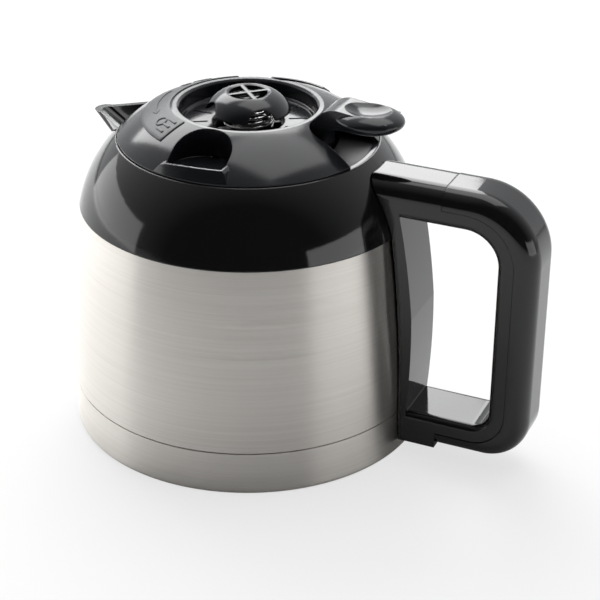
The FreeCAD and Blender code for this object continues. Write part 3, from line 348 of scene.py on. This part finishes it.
# %% Spin a strip on the dome
def on_dome(radius, turn, lift=0.0):
    return Vector((radius * math.cos(turn), radius * math.sin(turn), dome_height(radius) + lift))


def spun_strip(name, inner, outer, start, sweep, points, steps, lift):
    """A thin surface on the dome between two radii, from the angle start through the angle sweep."""
    let_go()
    bpy.ops.mesh.primitive_plane_add(size=0.001)
    piece = bpy.context.object
    piece.name = name
    bpy.ops.object.mode_set(mode="EDIT")
    bpy.ops.mesh.select_all(action="SELECT")
    bpy.ops.mesh.merge(type="CENTER")
    radii = [inner + (outer - inner) * i / (points - 1) for i in range(points)]
    trail = [on_dome(radius, start, lift) for radius in radii]
    bpy.ops.transform.translate(value=trail[0])
    for here, there in zip(trail, trail[1:]):
        bpy.ops.mesh.extrude_vertices_move(TRANSFORM_OT_translate={"value": there - here})
    bpy.ops.mesh.select_all(action="SELECT")
    bpy.ops.mesh.spin(steps=steps, angle=sweep, center=(0, 0, 0), axis=(0, 0, -1))
    bpy.ops.mesh.remove_doubles(threshold=0.00001)
    bpy.ops.mesh.normals_make_consistent(inside=False)
    bpy.ops.object.mode_set(mode="OBJECT")
    return piece


def face_up(piece):
    """Turn the faces over if they look down."""
    if sum(face.normal.z * face.area for face in piece.data.polygons) < 0:
        let_go()
        bpy.context.view_layer.objects.active = piece
        piece.select_set(True)
        bpy.ops.object.mode_set(mode="EDIT")
        bpy.ops.mesh.select_all(action="SELECT")
        bpy.ops.mesh.flip_normals()
        bpy.ops.object.mode_set(mode="OBJECT")


# %% [markdown]
# ## The raised panel
#
# On the spout side the dome carries a low panel with a fine texture, like a label that is moulded in. It
# could be cut out of the dome with a boolean, but a spun strip with a thickness gives clean, even edges.

# %% The raised panel
PANEL_INNER, PANEL_OUTER = 0.0292, 0.0402
PANEL_START, PANEL_SWEEP = math.radians(123), math.radians(120)
panel = spun_strip("lid_panel", PANEL_INNER, PANEL_OUTER, PANEL_START, PANEL_SWEEP, 9, 72, 0.0)
face_up(panel)
print("panel faces", len(panel.data.polygons), "box", [round(c, 4) for c in panel.dimensions])
add_modifier(panel, "SOLIDIFY", thickness=0.00055, offset=0.4)
add_modifier(panel, "BEVEL", width=0.00016, segments=2, limit_method="ANGLE")
smooth(panel)
panel_satin = finish_of("Fine textured black moulding", (0.035, 0.037, 0.040), clean=0.36, dull=0.44,
                        peel_size=2600.0, bump=0.25, edge=0.0002)
panel.data.materials.append(panel_satin)
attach(panel, "lid")

# %% [markdown]
# ## The marks
#
# A curved arrow with a head at each end says that the lid turns both ways. A ring at one end and a dot at
# the other tell the open side from the closed side, and three ribs beside each can be felt in the dark.
# They stand a third of a millimetre proud of the dome, so each is a real piece with its own edges.

# %% The arrow's shaft and heads
MARK_LIFT = 0.00035
ARROW_RADIUS = 0.0345
ARROW_START, ARROW_SWEEP = math.radians(176), math.radians(36)
shaft = spun_strip("arrow_shaft", ARROW_RADIUS - 0.0003, ARROW_RADIUS + 0.0003, ARROW_START, ARROW_SWEEP,
                   2, 24, MARK_LIFT)
face_up(shaft)
add_modifier(shaft, "SOLIDIFY", thickness=0.0005, offset=0.2)
smooth(shaft)


def lay_on_dome(piece, radius, turn, lift, spin=0.0):
    """Stand a flat piece on the dome: its own Z along the dome's normal, its X round the jug."""
    lean = Matrix.Rotation(dome_slope(radius), 4, "Y")
    piece.matrix_world = (Matrix.Translation(on_dome(radius, turn, lift)) @ Matrix.Rotation(turn, 4, "Z")
                          @ lean @ Matrix.Rotation(spin, 4, "Z"))
    settle(piece)


def raised_plate(name, corners, size, radius, turn, spin=0.0):
    """A flat plate with the given number of corners, raised on the dome, with a bevelled top."""
    let_go()
    bpy.ops.mesh.primitive_cylinder_add(vertices=corners, radius=size, depth=0.0005)
    piece = bpy.context.object
    piece.name = name
    lay_on_dome(piece, radius, turn, MARK_LIFT, spin)
    add_modifier(piece, "BEVEL", width=0.00012, segments=2, limit_method="ANGLE")
    smooth(piece)
    return piece


HEAD_SIZE, DOT_SIZE = 0.0017, 0.0022
head_one = raised_plate("arrow_head_one", 3, HEAD_SIZE, ARROW_RADIUS, ARROW_START, math.radians(180))
head_two = raised_plate("arrow_head_two", 3, HEAD_SIZE, ARROW_RADIUS, ARROW_START + ARROW_SWEEP)
dot = raised_plate("closed_mark", 40, DOT_SIZE, ARROW_RADIUS, math.radians(160))
let_go()
bpy.ops.mesh.primitive_torus_add(major_radius=0.0021, minor_radius=0.00035,
                                 major_segments=40, minor_segments=8)
ring = bpy.context.object
ring.name = "open_mark"
lay_on_dome(ring, ARROW_RADIUS, math.radians(228), MARK_LIFT)
smooth(ring)
RIB_TURNS = {"open": math.radians(235), "closed": math.radians(147)}
RIB_RADII = (0.0318, 0.0345, 0.0372)
RIB_SIZE = (0.0012, 0.0046, 0.0006)
ribs = []
for side, turn in RIB_TURNS.items():
    for row, radius in enumerate(RIB_RADII):
        let_go()
        bpy.ops.mesh.primitive_cube_add(size=1)
        rib = bpy.context.object
        rib.name = "%s_rib_%d" % (side, row)
        rib.scale = RIB_SIZE
        settle(rib)
        lay_on_dome(rib, radius, turn, MARK_LIFT)
        add_modifier(rib, "BEVEL", width=0.00025, segments=3, limit_method="ANGLE")
        smooth(rib)
        ribs.append(rib)
for mark in (shaft, head_one, head_two, dot, ring, *ribs):
    mark.data.materials.append(panel_satin)
    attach(mark, "lid")
print("marks made")

# %% [markdown]
# ## The valve spring
#
# The spring is a round wire wound on a helix. The Screw modifier sweeps a small circle up and round, which
# is how a spring machine winds it. When the valve is pressed the coil closes up.

# %% Wind the spring
spring_low, spring_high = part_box("valve_spring")
WIRE = 0.00045
COIL = 0.0093
TURNS = 4
seat = 0.12065
crown = 0.12895
let_go()
bpy.ops.mesh.primitive_circle_add(vertices=12, radius=WIRE, location=(COIL, 0, seat + WIRE),
                                  rotation=(math.radians(90), 0, 0))
spring = bpy.context.object
spring.name = "spring_wire"
settle(spring)
add_modifier(spring, "SCREW", axis="Z", angle=math.radians(360), iterations=TURNS,
             screw_offset=(crown - seat - 2 * WIRE) / TURNS, steps=48, render_steps=48,
             use_merge_vertices=True, merge_threshold=0.000001)
let_go()
bpy.context.view_layer.objects.active = spring
spring.select_set(True)
bpy.ops.object.mode_set(mode="EDIT")
bpy.ops.mesh.select_all(action="DESELECT")
bpy.ops.mesh.select_non_manifold()
bpy.ops.mesh.edge_face_add()
bpy.ops.mesh.select_all(action="SELECT")
bpy.ops.mesh.normals_make_consistent(inside=False)
bpy.ops.object.mode_set(mode="OBJECT")
smooth(spring, 60)
spring.data.materials.append(bright_steel)
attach(spring, "lid")
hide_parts("valve_spring")
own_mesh(spring)
print("spring from", spring_low.z, "to", spring_high.z)

# %% [markdown]
# ## Floor and background
#
# The jug stands on a white sweep. The floor shows almost white to the camera through its own colour and a
# little light of its own, and it still takes the jug's shadow.

# %% The floor
let_go()
bpy.ops.mesh.primitive_plane_add(size=6, location=(0, 0, 0))
floor = bpy.context.object
floor.name = "floor"
paper = bpy.data.materials.new("White paper")
paper.use_nodes = True
tree = paper.node_tree
tree.nodes.clear()
out = tree.nodes.new("ShaderNodeOutputMaterial")
matt = tree.nodes.new("ShaderNodeBsdfDiffuse")
matt.inputs["Color"].default_value = (0.86, 0.86, 0.86, 1)
glow = tree.nodes.new("ShaderNodeEmission")
glow.inputs["Color"].default_value = (1, 1, 1, 1)
ray = tree.nodes.new("ShaderNodeLightPath")
share = tree.nodes.new("ShaderNodeMath")
share.operation = "MULTIPLY"
share.inputs[1].default_value = 0.70
blend = tree.nodes.new("ShaderNodeMixShader")
tree.links.new(ray.outputs["Is Camera Ray"], share.inputs[0])
tree.links.new(share.outputs[0], blend.inputs["Fac"])
tree.links.new(matt.outputs[0], blend.inputs[1])
tree.links.new(glow.outputs[0], blend.inputs[2])
tree.links.new(blend.outputs[0], out.inputs["Surface"])
floor.data.materials.append(paper)

# %% [markdown]
# The world shows white to the camera. To the jug it's a room that is dim in front and brighter behind,
# fixed in space, so the reflections stay where they are when the camera moves.

# %% The world
scene = bpy.context.scene
world = bpy.data.worlds.new("Studio")
scene.world = world
world.use_nodes = True
tree = world.node_tree
tree.nodes.clear()
out = tree.nodes.new("ShaderNodeOutputWorld")
room = tree.nodes.new("ShaderNodeBackground")
room.inputs["Color"].default_value = (0.97, 0.985, 1.0, 1)
# the room is dim in front of the jug and brighter behind it
direction = tree.nodes.new("ShaderNodeTexCoord")
facing = tree.nodes.new("ShaderNodeVectorMath")
facing.operation = "DOT_PRODUCT"
facing.inputs[1].default_value = (-0.39, 0.92, 0.0)
level = tree.nodes.new("ShaderNodeMapRange")
level.inputs["From Min"].default_value = -0.6
level.inputs["From Max"].default_value = 0.7
level.inputs["To Min"].default_value = 0.03
level.inputs["To Max"].default_value = 0.95
tree.links.new(direction.outputs["Generated"], facing.inputs[0])
tree.links.new(facing.outputs["Value"], level.inputs["Value"])
tree.links.new(level.outputs["Result"], room.inputs["Strength"])
white = tree.nodes.new("ShaderNodeBackground")
white.inputs["Color"].default_value = (1, 1, 1, 1)
ray = tree.nodes.new("ShaderNodeLightPath")
blend = tree.nodes.new("ShaderNodeMixShader")
tree.links.new(ray.outputs["Is Camera Ray"], blend.inputs["Fac"])
tree.links.new(room.outputs[0], blend.inputs[1])
tree.links.new(white.outputs[0], blend.inputs[2])
tree.links.new(blend.outputs[0], out.inputs["Surface"])

# %% [markdown]
# ## Light
#
# Large soft panels light the jug: the main one from behind on the left, which makes the sheen on the lid and
# throws the shadow forward to the right, and one at each side, which gives the barrel its tall
# bright bands. Towards the camera the room stays dim, and that keeps the collar black.


# %% Soft panels
def panel_light(name, place, target, size, energy, height=None):
    lamp = bpy.data.lights.new(name, "AREA")
    lamp.shape = "RECTANGLE"
    lamp.size = size
    lamp.size_y = height or size
    lamp.energy = energy
    body = bpy.data.objects.new(name, lamp)
    scene.collection.objects.link(body)
    body.location = place
    body.rotation_euler = (Vector(target) - Vector(place)).to_track_quat("-Z", "Y").to_euler()
    return body


panel_light("main_panel", (-0.70, 0.80, 1.00), (0, 0, 0.08), 1.3, 19.0, 0.9)
panel_light("left_panel", (-1.05, -0.20, 0.20), (0, 0, 0.08), 1.2, 2.9, 0.4)
panel_light("right_panel", (1.10, -0.10, 0.15), (0, 0, 0.08), 0.9, 1.6, 0.3)
panel_light("top_panel", (0.1, 0.35, 1.4), (0, 0, 0.08), 1.0, 6.5)

# %% [markdown]
# ## Camera
#
# A long lens from about 0.7 m, above the jug and a quarter of the way round from its front towards the
# handle. A small shift to the side frames the jug as a view camera would, without turning the lens.

# %% The camera
EYE = Vector((0.27134, -0.55712, 0.37332))
AIM = Vector((0.02954, 0.01254, 0.04617))
eye = bpy.data.cameras.new("camera")
eye.sensor_width = 36
eye.lens = 105.66
eye.shift_x = -0.0514
camera = bpy.data.objects.new("camera", eye)
scene.collection.objects.link(camera)
level = (AIM - EYE).to_track_quat("-Z", "Y").to_matrix().to_4x4()
camera.matrix_world = Matrix.Translation(EYE) @ level @ Matrix.Rotation(math.radians(0.85), 4, "Z")
scene.camera = camera
scene.view_settings.view_transform = "Standard"
